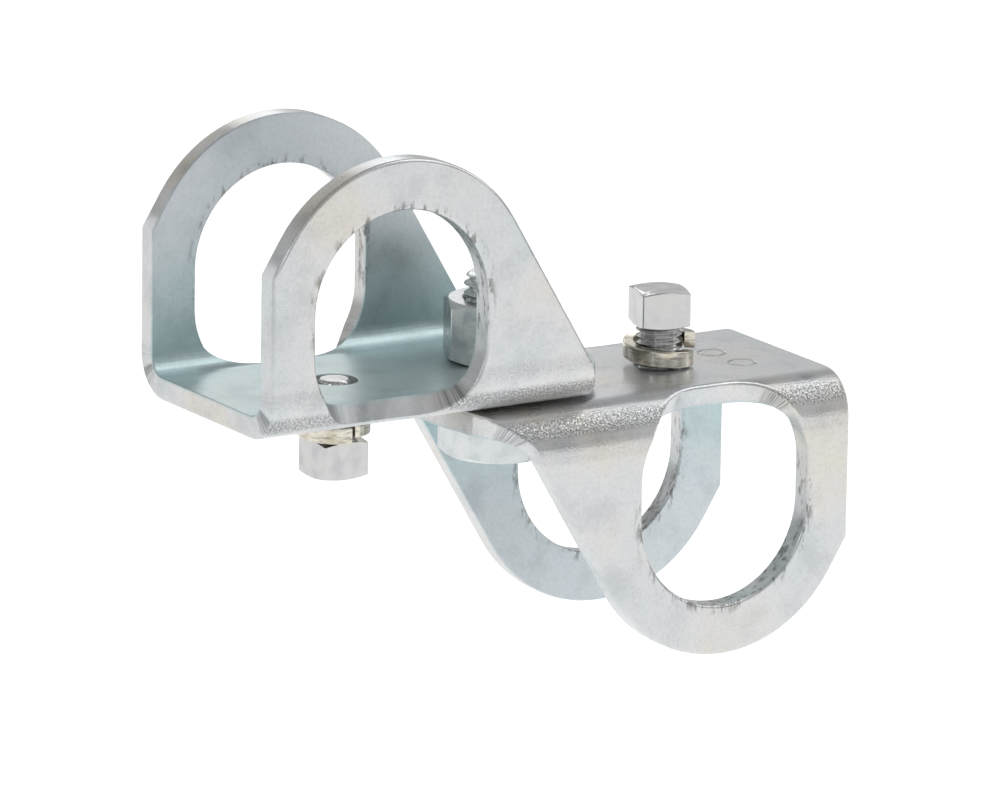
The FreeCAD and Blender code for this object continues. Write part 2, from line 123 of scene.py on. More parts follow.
def cutOff(piece, height, keepAbove):
    # trims a piece at a level and closes it
    workOn(piece)
    bpy.ops.mesh.select_all(action="SELECT")
    bpy.ops.mesh.bisect(plane_co=(0, 0, height * mm), plane_no=(0, 0, 1), use_fill=True,
                        clear_inner=keepAbove, clear_outer=not keepAbove)
    bpy.ops.object.mode_set(mode="OBJECT")


def outward(piece):
    workOn(piece)
    bpy.ops.mesh.select_all(action="SELECT")
    bpy.ops.mesh.remove_doubles(threshold=hair)
    bpy.ops.mesh.normals_make_consistent(inside=False)
    bpy.ops.object.mode_set(mode="OBJECT")


shading = {"smoothBelow": 40, "largestFirst": 100}      # degrees, and percent


def smoothEdges(piece, width, flatArea, segments=2, sharpest=30):
    # breaks the edges that turn more than sharpest, and takes each normal from the largest face
    # at its corner, where faces within flatArea of each other, in square mm, count as one size
    if width:
        addModifier(piece, "BEVEL", width=width * mm, segments=segments, limit_method="ANGLE",
                    angle_limit=math.radians(sharpest), harden_normals=False)
    workOn(piece, "OBJECT")
    bpy.ops.object.shade_smooth_by_angle(angle=math.radians(shading["smoothBelow"]))
    addModifier(piece, "WEIGHTED_NORMAL", keep_sharp=True, weight=shading["largestFirst"],
                thresh=flatArea * mm * mm)


def setDown(piece, origin, flipped=False, turn=0):
    # from the piece's own frame to its place in the row, upside down where flipped
    tip = Matrix.Rotation(math.pi, 4, "X") if flipped else Matrix.Identity(4)
    spin = Matrix.Rotation(math.radians(turn), 4, "Z")
    piece.data.transform(Matrix.Translation(origin) @ tip @ spin)
    piece.data.update()


def finishPiece(piece, name, body, node, slot, *materials):
    piece.name = name
    piece.data.name = name
    piece.data.materials.clear()
    for material in materials:
        piece.data.materials.append(material)
    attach(piece, body)
    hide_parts(node)


# the pressing, from its flat blank
bracket = {
    "plate": 6.0, "halfWidth": 33.0, "bendInner": 5.0, "reach": 86.0, "tail": 23.7,
    "lowerTailRise": 2.4, "upperTailRise": 9.5,     # how far the web's end bows out
    "seatOffset": 48.5, "seatHeight": 31.4, "seatRadius": 25.0, "crownRadius": 38.0,
    "farCorner": 43.0, "earSlope": 59.2, "windowCorner": 21.0, "windowInset": 2.0,
    "pivotHole": 9.06, "screwHole": 6.05,   # radii
    "rollOver": 0.9,                        # rounded edge on the die's side, the outside
    "burr": 0.35,                           # much sharper edge on the inside
    "arcStep": 5.0,                         # degrees from one point of a round outline to the next
    "bendSteps": 16,                        # strips that each bend is rolled from
    "flatWithin": 0.5,                      # degrees between faces of the blank that are one
    "edgeNormal": 0.3,                      # a face that leans less up than this is sheared edge
}
bendOuter = bracket["bendInner"] + bracket["plate"]
bendStart = bracket["halfWidth"] - bendOuter
foldRadius = bracket["bendInner"] + bracket["plate"] / 2
bendLength = foldRadius * math.pi / 2
seatAcross = bendStart + bendLength + bracket["seatHeight"] - bendOuter


# materials
def linear(code):
    channels = [int(code[k:k + 2], 16) / 255 for k in (1, 3, 5)]
    straight = [c / 12.92 if c <= 0.04045 else ((c + 0.055) / 1.055) ** 2.4 for c in channels]
    return (*straight, 1)


def addNode(tree, kind, inputs=None, **settings):
    node = tree.nodes.new("ShaderNode" + kind)
    for key, value in settings.items():
        setattr(node, key, value)
    for key, value in (inputs or {}).items():
        if isinstance(value, bpy.types.NodeSocket):
            tree.links.new(value, node.inputs[key])
        else:
            node.inputs[key].default_value = value
    return node


def newMaterial(name, metallic=1):
    material = bpy.data.materials.new(name)
    material.use_nodes = True
    tree = material.node_tree
    shader = tree.nodes["Principled BSDF"]
    shader.inputs["Metallic"].default_value = metallic
    return material, tree, shader


def dress(tree, shader, colour, rough, height):
    # height is in mm
    bump = addNode(tree, "Bump", {"Strength": 1.0, "Distance": mm, "Height": height})
    tree.links.new(colour, shader.inputs["Base Color"])
    tree.links.new(rough, shader.inputs["Roughness"])
    tree.links.new(bump.outputs[0], shader.inputs["Normal"])


def ramp(tree, source, stops):
    node = addNode(tree, "ValToRGB", {"Fac": source})
    band = node.color_ramp
    while len(band.elements) < len(stops):
        band.elements.new(0.5)
    for element, (place, colour) in zip(band.elements, stops):
        element.position = place
        element.color = linear(colour) if isinstance(colour, str) else (colour, colour, colour, 1)
    return node.outputs["Color"]


def maths(tree, operation, first, second=0.0):
    return addNode(tree, "Math", {0: first, 1: second}, operation=operation).outputs[0]


def plus(tree, total, value, share):
    return maths(tree, "ADD", total, maths(tree, "MULTIPLY", value, share))


def between(tree, value, low, high, newLow=0.0, newHigh=1.0):
    limits = {"Value": value, "From Min": low, "From Max": high, "To Min": newLow,
              "To Max": newHigh}
    return addNode(tree, "MapRange", limits, interpolation_type="SMOOTHSTEP").outputs["Result"]


def within(tree, value, places):
    # 1 between the two inner places, and 0 past the outer ones
    low, fullFrom, fullTo, high = places
    return maths(tree, "MULTIPLY", between(tree, value, low, fullFrom),
                 between(tree, value, high, fullTo))


def blendColours(tree, factor, first, second, mode="MIX"):
    node = addNode(tree, "Mix", {0: factor, 6: first, 7: second}, data_type="RGBA", blend_type=mode)
    return node.outputs[2]


def laidOver(tree, colour, mask, amount, code):
    return blendColours(tree, maths(tree, "MULTIPLY", mask, amount), colour, linear(code))


def noise(tree, place, patch, detail=2.0, roughness=0.5):
    # patch is the size of one light or dark spot, in mm, and place is in mm
    node = addNode(tree, "TexNoise", {"Vector": place, "Scale": 0.5 / patch, "Detail": detail,
                                      "Roughness": roughness})
    return node.outputs["Fac"]


def stretched(tree, place, scales):
    return addNode(tree, "VectorMath", {0: place, 1: scales}, operation="MULTIPLY").outputs[0]


def distance(tree, place, point):
    return addNode(tree, "VectorMath", {0: place, 1: point}, operation="DISTANCE").outputs["Value"]


def objectPlace(tree):
    source = addNode(tree, "TexCoord").outputs["Object"]
    return stretched(tree, source, (1 / mm, 1 / mm, 1 / mm))


def blankPlace(tree):
    # place on the flat blank, in mm, along the arm and across it
    source = addNode(tree, "UVMap", uv_map="blank").outputs["UV"]
    return stretched(tree, source, (blankUnit, blankUnit, 0))


def throughPlate(tree):
    # 0 on the outer face of the plate and 1 on the inner
    return addNode(tree, "Attribute", attribute_name="depth").outputs["Fac"]


blankUnit = 100                             # mm of the blank in one unit of its UV map
plateLook = {
    "casts": ((0.36, "#cfd3d5"), (0.52, "#d6d6d6"), (0.66, "#d7d4cc")),     # cool, plain, warm
    "castPatch": 13.0,
    "clouds": ((0.32, "#eeeff0"), (0.52, "#ffffff")), "cloudPatch": 5.0,    # dull and bright
    "grains": ((0.30, "#f5f5f5"), (0.55, "#ffffff")), "grain": 0.5,         # drawn coarse
    "grainHeight": 0.004,
    # painted reflection inside the channel, the teal that its inner faces throw on each other: its
    # colour at each distance across the blank, in mm, and how far the casts shift it
    "paintedInnerReflection": ((12.0, "#c2d2d3"), (38.0, "#b6d0d3"), (64.0, "#cdd4d8")),
    "paintedInnerReflectionShift": 24.0, "paintedInnerReflectionAmount": 0.85, "innerRougher": 0.10,
    # the die's marks, by distance across the blank: from, full from, full to, to
    "dieStart": (26.0, 28.5, 30.5, 32.0), "dieEnd": (32.0, 34.0, 36.0, 38.0), "dieEndShare": 0.25,
    "stipple": 0.20, "stippleColour": "#4f5254", "stippleAmount": 0.7, "stippleHeight": 0.07,
    # lines that the punch drew along the inside of the bend, the same way
    "foldLines": (21.0, 26.0, 31.0, 37.0), "drawn": 0.5, "drawnHeight": 0.07,
    # scuffs from the tube, by distance from the middle of its seat
    "scuffFrom": 25.4, "scuffTo": 28.2, "scuffPatch": 0.9, "scuff": "#6f6d68", "scuffAmount": 0.75,
    "metallic": 0.74, "roughness": (0.25, 0.34), "rubbedRougher": 0.12,
}
stampRings = {"places": ((67.0, -3.5), (68.2, 9.1)), "radius": 3.4, "groove": 0.55, "depth": 0.25}


def zincPlate(name, stamped):
    # bright zinc on pressed mild steel: satin, with faint clouds of blue and straw, a painted teal
    # reflection on the inner faces of the channel, and the die's rubbed, stippled bands along the
    # outside of the bends
    look = plateLook
    material, tree, shader = newMaterial(name, look["metallic"])
    place = blankPlace(tree)
    solid = objectPlace(tree)
    split = addNode(tree, "SeparateXYZ", {0: place})
    across = maths(tree, "ABSOLUTE", split.outputs["Y"])
    folded = addNode(tree, "CombineXYZ", {"X": split.outputs["X"], "Y": across}).outputs[0]
    inner = between(tree, throughPlate(tree), 0.8, 1.0)
    cast = noise(tree, solid, look["castPatch"], 3.0, 0.55)
    cloud = noise(tree, solid, look["cloudPatch"], 4.0, 0.55)
    grain = noise(tree, solid, look["grain"], 2.0, 0.6)
    # painted reflection: the inner faces take the teal that the channel's faces reflect onto each
    # other
    drift = plus(tree, across, maths(tree, "SUBTRACT", cast, 0.5), look["paintedInnerReflectionShift"])
    paintedInnerReflection = ramp(tree, maths(tree, "DIVIDE", drift, 100.0),
                [(far / 100, colour) for far, colour in look["paintedInnerReflection"]])
    colour = blendColours(tree, maths(tree, "MULTIPLY", inner, look["paintedInnerReflectionAmount"]),
                          ramp(tree, cast, look["casts"]), paintedInnerReflection)
    for pattern, stops in ((cloud, look["clouds"]), (grain, look["grains"])):
        colour = blendColours(tree, 1.0, colour, ramp(tree, pattern, stops), "MULTIPLY")
    # die marks, on the outside only
    band = maths(tree, "MAXIMUM", within(tree, across, look["dieStart"]),
                 maths(tree, "MULTIPLY", within(tree, across, look["dieEnd"]), look["dieEndShare"]))
    band = maths(tree, "MULTIPLY", band, maths(tree, "SUBTRACT", 1.0, inner))
    pits = noise(tree, stretched(tree, place, (0.7, 1.0, 1.0)), look["stipple"], 1.0)
    stipple = maths(tree, "MULTIPLY", band, between(tree, pits, 0.30, 0.70))
    colour = laidOver(tree, colour, stipple, look["stippleAmount"], look["stippleColour"])
    drawn = noise(tree, stretched(tree, place, (0.06, 1.0, 1.0)), look["drawn"], 2.0, 0.6)
    drawn = maths(tree, "MULTIPLY", drawn, within(tree, across, look["foldLines"]))
    away = distance(tree, folded, (bracket["seatOffset"], seatAcross, 0))
    worn = noise(tree, stretched(tree, solid, (1.0, 1.0, 0.3)), look["scuffPatch"], 4.0, 0.7)
    worn = maths(tree, "MULTIPLY", between(tree, worn, 0.50, 0.62),
                 between(tree, away, look["scuffTo"], look["scuffFrom"]))
    colour = laidOver(tree, colour, worn, look["scuffAmount"], look["scuff"])
    rough = between(tree, cloud, 0.3, 0.7, *look["roughness"])
    rough = plus(tree, rough, maths(tree, "MAXIMUM", stipple, worn), look["rubbedRougher"])
    rough = plus(tree, rough, inner, look["innerRougher"])
    height = maths(tree, "MULTIPLY", grain, look["grainHeight"])
    height = plus(tree, height, stipple, look["stippleHeight"])
    height = plus(tree, height, drawn, look["drawnHeight"])
    if stamped:
        for u, w in stampRings["places"]:
            ring = maths(tree, "SUBTRACT", distance(tree, place, (u, w, 0)), stampRings["radius"])
            groove = between(tree, maths(tree, "ABSOLUTE", ring), stampRings["groove"], 0.0,
                             0.0, stampRings["depth"])
            height = maths(tree, "SUBTRACT", height, groove)
    dress(tree, shader, colour, rough, height)
    return material


edgeLook = {
    "burnished": "#d9dad9", "torn": "#bfbcb5",
    # where the edge turns from burnished to torn, as a share of the plate, and how far it strays
    "tornAt": (0.50, 0.62), "wander": 0.35, "wanderPatch": 4.0,
    "breakLine": "#7d7b77", "breakAt": (0.50, 0.54, 0.57, 0.62), "breakAmount": 0.8,
    "stain": "#cfc3aa", "stainPatch": 4.0, "stainAmount": 0.7,
    "streak": 0.30, "streakHeight": 0.06, "burnishedShare": 0.35,      # width of one shear streak
    "grit": 0.3, "gritHeight": 0.03,
    "roughness": (0.26, 0.48), "streakRougher": 0.1,
}


def shearedEdge(name):
    # the blanked edge under its plating: a burnished band, a dark line where the plate broke,
    # then torn metal, with fine streaks that run through the thickness
    look = edgeLook
    material, tree, shader = newMaterial(name)
    place = blankPlace(tree)
    solid = objectPlace(tree)
    streaks = noise(tree, place, look["streak"], 3.0, 0.7)
    line = plus(tree, throughPlate(tree), noise(tree, place, look["wanderPatch"]), look["wander"])
    torn = between(tree, line, *look["tornAt"])
    colour = blendColours(tree, torn, linear(look["burnished"]), linear(look["torn"]))
    crack = maths(tree, "MULTIPLY", within(tree, line, look["breakAt"]),
                  between(tree, streaks, 0.40, 0.60))
    colour = laidOver(tree, colour, crack, look["breakAmount"], look["breakLine"])
    stain = between(tree, noise(tree, solid, look["stainPatch"], 4.0, 0.65), 0.50, 0.66)
    colour = laidOver(tree, colour, stain, look["stainAmount"], look["stain"])
    marks = between(tree, streaks, 0.35, 0.65, 0.78, 1.0)
    colour = blendColours(tree, 1.0, colour, marks, "MULTIPLY")
    rough = between(tree, torn, 0.0, 1.0, *look["roughness"])
    rough = plus(tree, rough, streaks, look["streakRougher"])
    height = maths(tree, "MULTIPLY", streaks, look["streakHeight"])
    deep = between(tree, torn, 0.0, 1.0, look["burnishedShare"], 1.0)
    height = plus(tree, maths(tree, "MULTIPLY", height, deep),
                  noise(tree, solid, look["grit"]), look["gritHeight"])
    dress(tree, shader, colour, rough, height)
    return material


fastenerLook = {
    "metallic": 0.85, "cloudPatch": 2.6, "drawLine": 0.4,
    "nickPatch": 0.7, "nick": "#5c5a55", "nickAmount": 0.6, "nickRougher": 0.15, "nickDepth": 0.03,
    "band": 0.5, "bandColour": "#4b4642",
    "bolt": {"light": "#d6d9d9", "dark": "#bfc6c8", "roughness": (0.20, 0.30),
             "lineHeight": 0.006, "banding": 0},
    "screw": {"light": "#cacac9", "dark": "#b9b9bc", "roughness": (0.14, 0.24),
              "lineHeight": 0.008, "banding": 0},
    "spring": {"light": "#dcd8cb", "dark": "#bfb7a4", "roughness": (0.10, 0.20),
               "lineHeight": 0.012, "banding": 0.6},
}


def zincFastener(name, sort):
    # bright zinc on cold-headed steel: smoother than the plate, with faint draw lines and nicks,
    # and on bent wire also darker bands along it
    look = {**fastenerLook, **fastenerLook[sort]}
    material, tree, shader = newMaterial(name, look["metallic"])
    solid = objectPlace(tree)
    cloud = noise(tree, solid, look["cloudPatch"], 4.0, 0.55)
    colour = ramp(tree, cloud, [(0.32, look["dark"]), (0.56, look["light"])])
    lines = noise(tree, stretched(tree, solid, (0.25, 0.25, 1.6)), look["drawLine"])
    nicks = between(tree, noise(tree, solid, look["nickPatch"], 4.0, 0.75), 0.68, 0.76)
    colour = laidOver(tree, colour, nicks, look["nickAmount"], look["nick"])
    if look["banding"]:
        bands = noise(tree, stretched(tree, solid, (0.2, 0.2, 1.4)), look["band"], 3.0, 0.7)
        colour = laidOver(tree, colour, between(tree, bands, 0.50, 0.68), look["banding"],
                          look["bandColour"])
    rough = between(tree, cloud, 0.35, 0.65, *look["roughness"])
    rough = plus(tree, rough, nicks, look["nickRougher"])
    height = maths(tree, "MULTIPLY", lines, look["lineHeight"])
    height = plus(tree, height, nicks, -look["nickDepth"])
    dress(tree, shader, colour, rough, height)
    return material


plateZinc = zincPlate("bright_zinc_on_pressed_plate", False)
stampedZinc = zincPlate("bright_zinc_on_stamped_plate", True)
shearZinc = shearedEdge("zinc_on_sheared_edge")
boltZinc = zincFastener("bright_zinc_on_headed_bolt", "bolt")
screwZinc = zincFastener("bright_zinc_on_headed_screw", "screw")
springZinc = zincFastener("yellowish_zinc_on_spring_wire", "spring")
print("materials made")


# brackets
def arcPoints(centre, radius, start, end):
    # start and end in degrees, both ends included
    steps = max(2, round(abs(end - start) / bracket["arcStep"]))
    angles = [math.radians(start + (end - start) * k / steps) for k in range(steps + 1)]
    return [(centre[0] + radius * math.cos(a), centre[1] + radius * math.sin(a)) for a in angles]


def circle(centre, radius):
    return arcPoints(centre, radius, 0, 360 - bracket["arcStep"])


def halfOutline(tailRise):
    # one side of the blank, from the middle of its tail round the ear to the far end
    b = bracket
    bow = (bendStart ** 2 + tailRise ** 2) / (2 * tailRise)
    spread = math.degrees(math.asin(bendStart / bow))
    points = arcPoints((bow - b["tail"], 0), bow, 180, 180 - spread)
    tilt = math.radians(b["earSlope"])
    seat = (b["seatOffset"], seatAcross)
    touch = (seat[0] - b["crownRadius"] * math.sin(tilt),
             seat[1] + b["crownRadius"] * math.cos(tilt))
    lean = 1 / math.tan(tilt)
    start = tailRise - b["tail"]
    startLean = bendStart / (bow - tailRise)
    end = touch[0] - (touch[1] - bendStart - bendLength) * lean
    # over the bend, one smooth cubic from the tail's slope to the ear's straight side
    for k in range(1, b["bendSteps"] + 1):
        s = k / b["bendSteps"]
        along = (start * (2 * s ** 3 - 3 * s ** 2 + 1) + end * (3 * s ** 2 - 2 * s ** 3)
                 + startLean * bendLength * (s ** 3 - 2 * s ** 2 + s)
                 + lean * bendLength * (s ** 3 - s ** 2))
        points.append((along, bendStart + bendLength * s))
    corner = (b["reach"], seat[1] + b["farCorner"] - b["seatHeight"])
    run = math.hypot(corner[0] - seat[0], corner[1] - seat[1])
    far = math.degrees(math.atan2(corner[1] - seat[1], corner[0] - seat[0])
                       + math.acos(b["crownRadius"] / run))
    points += arcPoints(seat, b["crownRadius"], 90 + b["earSlope"], far)
    points.append(corner)
    return points


def windowOutline():
    b = bracket
    seat, radius, corner = b["seatOffset"], b["seatRadius"], b["windowCorner"]
    turn = bendStart + b["windowInset"] + corner
    points = arcPoints((seat, seatAcross), radius, 0, 180)
    points += arcPoints((seat - radius + corner, turn), corner, 180, 270)
    points += arcPoints((seat + radius - corner, turn), corner, 270, 360)
    return points


def makeBlank(tailRise):
    # the flat sheared plate, standing on its outer face
    half = halfOutline(tailRise)
    mirrored = [(u, -w) for u, w in reversed(half)]
    window = windowOutline()
    loops = [half + mirrored[:-1], window, [(u, -w) for u, w in reversed(window)],
             circle((0, 0), bracket["pivotHole"]),
             circle((bracket["seatOffset"], 0), bracket["screwHole"])]
    points, edges = [], []
    for loop in loops:
        first = len(points)
        points += [(u * mm, w * mm, 0) for u, w in loop]
        edges += [(first + k, first + (k + 1) % len(loop)) for k in range(len(loop))]
    mesh = bpy.data.meshes.new("blank")
    mesh.from_pydata(points, edges, [])
    piece = bpy.data.objects.new("blank", mesh)
    bpy.context.scene.collection.objects.link(piece)
    workOn(piece)
    bpy.ops.mesh.select_all(action="SELECT")
    bpy.ops.mesh.remove_doubles(threshold=10 * hair)
    bpy.ops.mesh.fill()
    # a seam through every hole, so that no face between the seams has a hole in it
    for along in (0, bracket["seatOffset"]):
        bpy.ops.mesh.select_all(action="SELECT")
        bpy.ops.mesh.bisect(plane_co=(along * mm, 0, 0), plane_no=(1, 0, 0))
        bpy.ops.mesh.mark_seam(clear=False)
    bpy.ops.mesh.select_all(action="SELECT")
    bpy.ops.mesh.dissolve_limited(angle_limit=math.radians(bracket["flatWithin"]), delimit={"SEAM"})
    bpy.ops.mesh.select_all(action="SELECT")
    lift = (0, 0, bracket["plate"] * mm)
    bpy.ops.mesh.extrude_region_move(TRANSFORM_OT_translate={"value": lift})
    bpy.ops.mesh.select_all(action="SELECT")
    bpy.ops.mesh.normals_make_consistent(inside=False)
    for level, width, segments in ((0, bracket["rollOver"], 4),
                                   (bracket["plate"], bracket["burr"], 2)):
        pickEdges(piece, lambda edge: all(abs(v.co.z - level * mm) < hair for v in edge.verts)
                  and edge.calc_face_angle(0) > 1)
        bpy.ops.mesh.bevel(offset=width * mm, segments=segments, profile=0.5, affect="EDGES")
    return piece


def rollEars(piece):
    # both ears go up: each point past the start of a bend turns about the bend's centre line.
    # The materials need the flat blank, so its shape is first kept as a UV map and a depth
    workOn(piece)
    steps = bracket["bendSteps"]
    for side in (1, -1):
        for k in range(steps + 1):
            bpy.ops.mesh.select_all(action="SELECT")
            station = side * (bendStart + bendLength * k / steps)
            bpy.ops.mesh.bisect(plane_co=(0, station * mm, 0), plane_no=(0, 1, 0))
    bpy.ops.object.mode_set(mode="OBJECT")
    mesh = piece.data
    blank = mesh.uv_layers.new(name="blank")
    for loop in mesh.loops:
        place = mesh.vertices[loop.vertex_index].co
        blank.data[loop.index].uv = (place.x / mm / blankUnit, place.y / mm / blankUnit)
    depth = mesh.attributes.new("depth", "FLOAT", "POINT")
    for vertex in mesh.vertices:
        depth.data[vertex.index].value = vertex.co.z / (bracket["plate"] * mm)
    for face in mesh.polygons:
        face.material_index = 1 if abs(face.normal.z) < bracket["edgeNormal"] else 0
    for vertex in mesh.vertices:
        across, up = abs(vertex.co.y) / mm, vertex.co.z / mm
        side = 1 if vertex.co.y > 0 else -1
        past = across - bendStart
        if past <= 0:
            continue
        angle = min(past, bendLength) / foldRadius
        ring = bendOuter - up
        rise = max(0, past - bendLength)
        vertex.co.y = side * (bendStart + ring * math.sin(angle)) * mm
        vertex.co.z = (bendOuter - ring * math.cos(angle) + rise) * mm
    mesh.update()


def makeBracket(tailRise):
    piece = makeBlank(tailRise)
    rollEars(piece)
    outward(piece)
    smoothEdges(piece, 0, 100)
    return piece


lowerBracket = makeBracket(bracket["lowerTailRise"])
upperBracket = makeBracket(bracket["upperTailRise"])
setDown(lowerBracket, Vector((pivotPlace.x, 0, lowerWeb)), flipped=True)
setDown(upperBracket, Vector((pivotPlace.x, 0, upperWeb)), turn=180)
finishPiece(lowerBracket, "lower_bracket_plate", "lower_arm", "lower_bracket", "pressed_plate",
            stampedZinc, shearZinc)
finishPiece(upperBracket, "upper_bracket_plate", "upper_arm", "upper_bracket", "pressed_plate",
            plateZinc, shearZinc)
print("brackets made")


# heads, threads and washers
# bury is how far a shank runs into what it joins
turning = {"rodSides": 72, "coneSides": 96, "bury": 0.5}


def headBlank(name, sides, across, high, turn, bothEnds, cornerRound, chamfer):
    # a bar of square or hex steel whose corners are turned down to a cone, with its first
    # corner at turn degrees from +X. Chamfer is as in setScrew below
    deselectAll()
    radius = across / 2 / math.cos(math.pi / sides)
    middle = (0, 0, high / 2 * mm)
    bpy.ops.mesh.primitive_cylinder_add(vertices=sides, radius=radius * mm, depth=high * mm,
                                        location=middle, rotation=(0, 0, math.radians(turn - 90)))
    head = bpy.context.object
    head.name = name
    bakePlace(head)
    workOn(head)
    pickEdges(head, lambda edge: abs(edge.verts[0].co.z - edge.verts[1].co.z) > high / 2 * mm)
    bpy.ops.mesh.bevel(offset=cornerRound * mm, segments=3, affect="EDGES")
    rim = across / 2 * chamfer[1]
    grow = high / math.tan(math.radians(chamfer[0]))
    cones = ((rim + grow, rim), (rim, rim + grow))
    for below, above in cones if bothEnds else cones[:1]:
        deselectAll()
        bpy.ops.mesh.primitive_cone_add(vertices=turning["coneSides"], radius1=below * mm,
                                        radius2=above * mm, depth=high * mm, location=middle)
        combine(head, bpy.context.object, "INTERSECT")
    return head


# a 60 degree thread, in shares of its pitch: how deep it is, and where along one pitch the root
# ends and the crest starts and ends
thread = {"deep": 0.58, "rootEnd": 0.22, "crestStart": 0.55, "crestEnd": 0.68,
          "steps": 48, "spare": 2}          # points round a turn, and pitches cut off at each end


def threadedRod(name, radius, pitch, low, high):
    # one pitch of thread wound up the rod, then cut off square at both ends
    root = radius - thread["deep"] * pitch
    deselectAll()
    bpy.ops.mesh.primitive_plane_add(size=mm)
    rod = bpy.context.object
    rod.name = name
    mesh = rod.data
    mesh.clear_geometry()
    start = low - thread["spare"] * pitch
    shape = [(root, 0.0), (root, thread["rootEnd"]), (radius, thread["crestStart"]),
             (radius, thread["crestEnd"]), (root, 1.0)]
    mesh.from_pydata([(r * mm, 0, (start + share * pitch) * mm) for r, share in shape],
                     [(k, k + 1) for k in range(len(shape) - 1)], [])
    turns = math.ceil((high - low) / pitch) + 2 * thread["spare"]
    addModifier(rod, "SCREW", axis="Z", angle=2 * math.pi, screw_offset=pitch * mm,
                iterations=turns, steps=thread["steps"], render_steps=thread["steps"],
                use_merge_vertices=True, merge_threshold=hair)
    cutOff(rod, low, True)
    cutOff(rod, high, False)
    outward(rod)
    return rod


def plainRod(name, radius, low, high, chamfer=0.0):
    deselectAll()
    bpy.ops.mesh.primitive_cylinder_add(vertices=turning["rodSides"], radius=radius * mm,
                                        depth=(high - low) * mm,
                                        location=(0, 0, (high + low) / 2 * mm))
    rod = bpy.context.object
    rod.name = name
    bakePlace(rod)
    if chamfer:
        workOn(rod)
        pickEdges(rod, lambda edge: all(abs(v.co.z - low * mm) < hair for v in edge.verts))
        bpy.ops.mesh.bevel(offset=chamfer * mm, segments=1, affect="EDGES")
        bpy.ops.object.mode_set(mode="OBJECT")
    return rod


setScrew = {
    "across": 13.0, "high": 9.8, "cornerRound": 0.55, "radius": 6.0, "pitch": 1.75, "under": 15.3,
    "pointRadius": 4.25, "pointLong": 2.0, "pointChamfer": 0.7,
    "chamfer": (14.0, 0.93),                # degrees, and the flat on top as a share of the width
    "edge": 0.22, "flatArea": 15,
    "lowerTurn": -15.0, "upperTurn": -1.0,
}


def makeSetScrew(name, turn):
    s = setScrew
    piece = headBlank(name, 4, s["across"], s["high"], turn + 45, True, s["cornerRound"],
                      s["chamfer"])
    smoothEdges(piece, s["edge"], s["flatArea"])
    neck = s["pointLong"] - s["under"]
    combine(piece, threadedRod(name + "_thread", s["radius"], s["pitch"], neck, turning["bury"]),
            "UNION")
    combine(piece, plainRod(name + "_point", s["pointRadius"], -s["under"], neck + turning["bury"],
                            s["pointChamfer"]), "UNION")
    outward(piece)
    smoothEdges(piece, 0, s["flatArea"])
    return piece


lowerScrew = makeSetScrew("lower_screw", setScrew["lowerTurn"])
upperScrew = makeSetScrew("upper_screw", setScrew["upperTurn"])
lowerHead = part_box("lower_set_screw")[1].z - setScrew["high"] * mm
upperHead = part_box("upper_set_screw")[0].z + setScrew["high"] * mm
setDown(lowerScrew, Vector((lowerSeat.x, 0, lowerHead)))
setDown(upperScrew, Vector((upperSeat.x, 0, upperHead)), flipped=True)
finishPiece(lowerScrew, "lower_clamp_screw", "lower_screw", "lower_set_screw", "fastener",
            screwZinc)
finishPiece(upperScrew, "upper_clamp_screw", "upper_screw", "upper_set_screw", "fastener",
            screwZinc)
print("set screws made")

pivotBolt = {
    "across": 26.5, "cornerRound": 0.5, "chamfer": (30.0, 0.97), "flatArea": 15,
    "headHigh": 11.5, "headTurn": -32.0, "edge": 0.3,
    "radius": 9.0, "pitch": 2.5, "under": 35.8, "endChamfer": 1.5,
    "plain": 14.0, "lap": 0.2,              # unthreaded under the head, and into the thread
    "nutHigh": 15.8, "nutTurn": 6.0, "nutEdge": 0.25, "nutBore": 9.05,
    "nutMouth": 9.475, "mouthCone": 1.275,  # radius at the nut's face, and half the cone's length
}


def makePivotBolt():
    # its own frame: the head stands on z = 0, and the shank runs down from there
    b = pivotBolt
    piece = headBlank("bolt", 6, b["across"], b["headHigh"], b["headTurn"], False,
                      b["cornerRound"], b["chamfer"])
    smoothEdges(piece, b["edge"], b["flatArea"])
    rod = threadedRod("bolt_thread", b["radius"], b["pitch"], -b["under"], -b["plain"])
    taper = b["under"] - b["plain"]
    tip = b["radius"] - b["endChamfer"]
    deselectAll()
    bpy.ops.mesh.primitive_cone_add(vertices=turning["coneSides"], radius1=tip * mm,
                                    radius2=(tip + taper) * mm, depth=taper * mm,
                                    location=(0, 0, -(b["under"] + b["plain"]) / 2 * mm))
    combine(rod, bpy.context.object, "INTERSECT")
    shank = plainRod("bolt_shank", b["radius"], -b["plain"] - b["lap"], turning["bury"])
    combine(piece, shank, "UNION")
    combine(piece, rod, "UNION")
    outward(piece)
    smoothEdges(piece, 0, b["flatArea"])
    return piece


def makePivotNut():
    b = pivotBolt
    piece = headBlank("nut", 6, b["across"], b["nutHigh"], b["nutTurn"], True, b["cornerRound"],
                      b["chamfer"])
    drill = plainRod("nut_bore", b["nutBore"], -1, b["nutHigh"] + 1)
    combine(piece, drill, "DIFFERENCE")
    # a 45 degree countersink at each end, from a cone whose middle is level with the face
    wide, narrow = b["nutMouth"] + b["mouthCone"], b["nutMouth"] - b["mouthCone"]
    for level, below, above in ((b["nutHigh"], narrow, wide), (0, wide, narrow)):
        deselectAll()
        bpy.ops.mesh.primitive_cone_add(vertices=turning["rodSides"], radius1=below * mm,
                                        radius2=above * mm, depth=2 * b["mouthCone"] * mm,
                                        location=(0, 0, level * mm))
        combine(piece, bpy.context.object, "DIFFERENCE")
    outward(piece)
    smoothEdges(piece, b["nutEdge"], b["flatArea"])
    return piece


